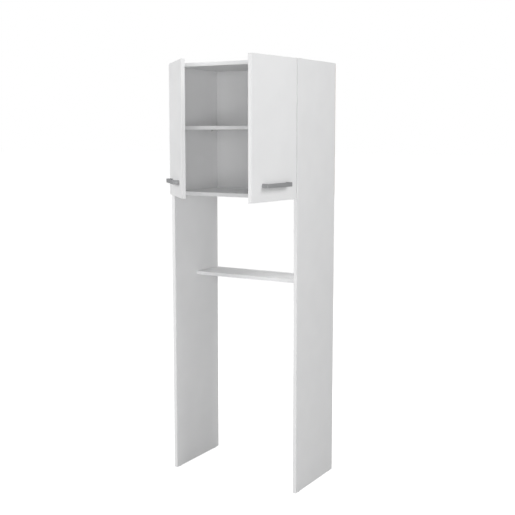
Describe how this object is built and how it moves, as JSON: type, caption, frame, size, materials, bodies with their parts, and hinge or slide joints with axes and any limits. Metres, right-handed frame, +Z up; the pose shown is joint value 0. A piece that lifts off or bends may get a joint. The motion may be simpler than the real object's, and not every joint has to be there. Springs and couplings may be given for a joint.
{
  "type": "over the toilet storage rack",
  "caption": "Tall white bathroom rack that stands over a toilet: side panels, a cupboard with hinged doors and an inner shelf at the top, and a narrow open shelf below.",
  "frame": {"origin": "on the floor, in the plane of symmetry of the cupboard and its side panels, midway from the back panel's rear face to the tip of the open right door: the bottom centre of the whole rack's box as it stands with its doors open, to within 10 mm", "axes": "+Z up, +Y towards the wall behind the rack, +X to the right as a person faces the rack"},
  "size_m": [0.6599, 0.6733, 1.85],
  "materials": {
    "board": "white melamine-faced board, satin",
    "back": "white lacquered hardboard",
    "handle": "satin grey",
    "steel": "nickel plated",
    "zinc": "die-cast zinc",
    "plastic": "white moulded plastic"
  },
  "bodies": {
    "carcass": {"back_panel": "back", "cabinet_bottom": "board", "cabinet_top": "board", "cam_dowel_cabinet_bottom_left_front": "steel", "cam_dowel_cabinet_bottom_left_rear": "steel", "cam_dowel_cabinet_bottom_right_front": "steel", "cam_dowel_cabinet_bottom_right_rear": "steel", "cam_dowel_cabinet_top_left_front": "steel", "cam_dowel_cabinet_top_left_rear": "steel", "cam_dowel_cabinet_top_right_front": "steel", "cam_dowel_cabinet_top_right_rear": "steel", "cam_dowel_lower_shelf_left_middle": "steel", "cam_dowel_lower_shelf_right_middle": "steel", "cam_lock_cabinet_bottom_left_front": "zinc", "cam_lock_cabinet_bottom_left_rear": "zinc", "cam_lock_cabinet_bottom_right_front": "zinc", "cam_lock_cabinet_bottom_right_rear": "zinc", "cam_lock_cabinet_top_left_front": "zinc", "cam_lock_cabinet_top_left_rear": "zinc", "cam_lock_cabinet_top_right_front": "zinc", "cam_lock_cabinet_top_right_rear": "zinc", "cam_lock_lower_shelf_left_middle": "zinc", "cam_lock_lower_shelf_right_middle": "zinc", "floor_glide_left_front": "plastic", "floor_glide_left_rear": "plastic", "floor_glide_right_front": "plastic", "floor_glide_right_rear": "plastic", "hinge_arm_left_lower": "steel", "hinge_arm_left_upper": "steel", "hinge_arm_right_lower": "steel", "hinge_arm_right_upper": "steel", "hinge_plate_left_lower": "steel", "hinge_plate_left_upper": "steel", "hinge_plate_right_lower": "steel", "hinge_plate_right_upper": "steel", "inner_shelf": "board", "left_side_panel": "board", "lower_shelf": "board", "right_side_panel": "board", "shelf_pin_left_front": "steel", "shelf_pin_left_rear": "steel", "shelf_pin_right_front": "steel", "shelf_pin_right_rear": "steel", "wall_bracket": "steel"},
    "left_door_leaf": {"handle_screw_left_inner": "steel", "handle_screw_left_outer": "steel", "hinge_cup_left_lower": "steel", "hinge_cup_left_upper": "steel", "hinge_pin_left_lower": "steel", "hinge_pin_left_upper": "steel", "left_door": "board", "left_handle": "handle"},
    "right_door_leaf": {"handle_screw_right_inner": "steel", "handle_screw_right_outer": "steel", "hinge_cup_right_lower": "steel", "hinge_cup_right_upper": "steel", "hinge_pin_right_lower": "steel", "hinge_pin_right_upper": "steel", "right_door": "board", "right_handle": "handle"}
  },
  "joints": [
    {"name": "left_door_hinge", "type": "hinge", "parent": "carcass", "child": "left_door_leaf", "pos_m": [-0.3106, -0.0285, 1.5605], "axis": [0, 0, 1], "range_deg": [-50, 45]},
    {"name": "right_door_hinge", "type": "hinge", "parent": "carcass", "child": "right_door_leaf", "pos_m": [0.3106, -0.0285, 1.5605], "axis": [0, 0, 1], "range_deg": [-85, 10]}
  ]
}
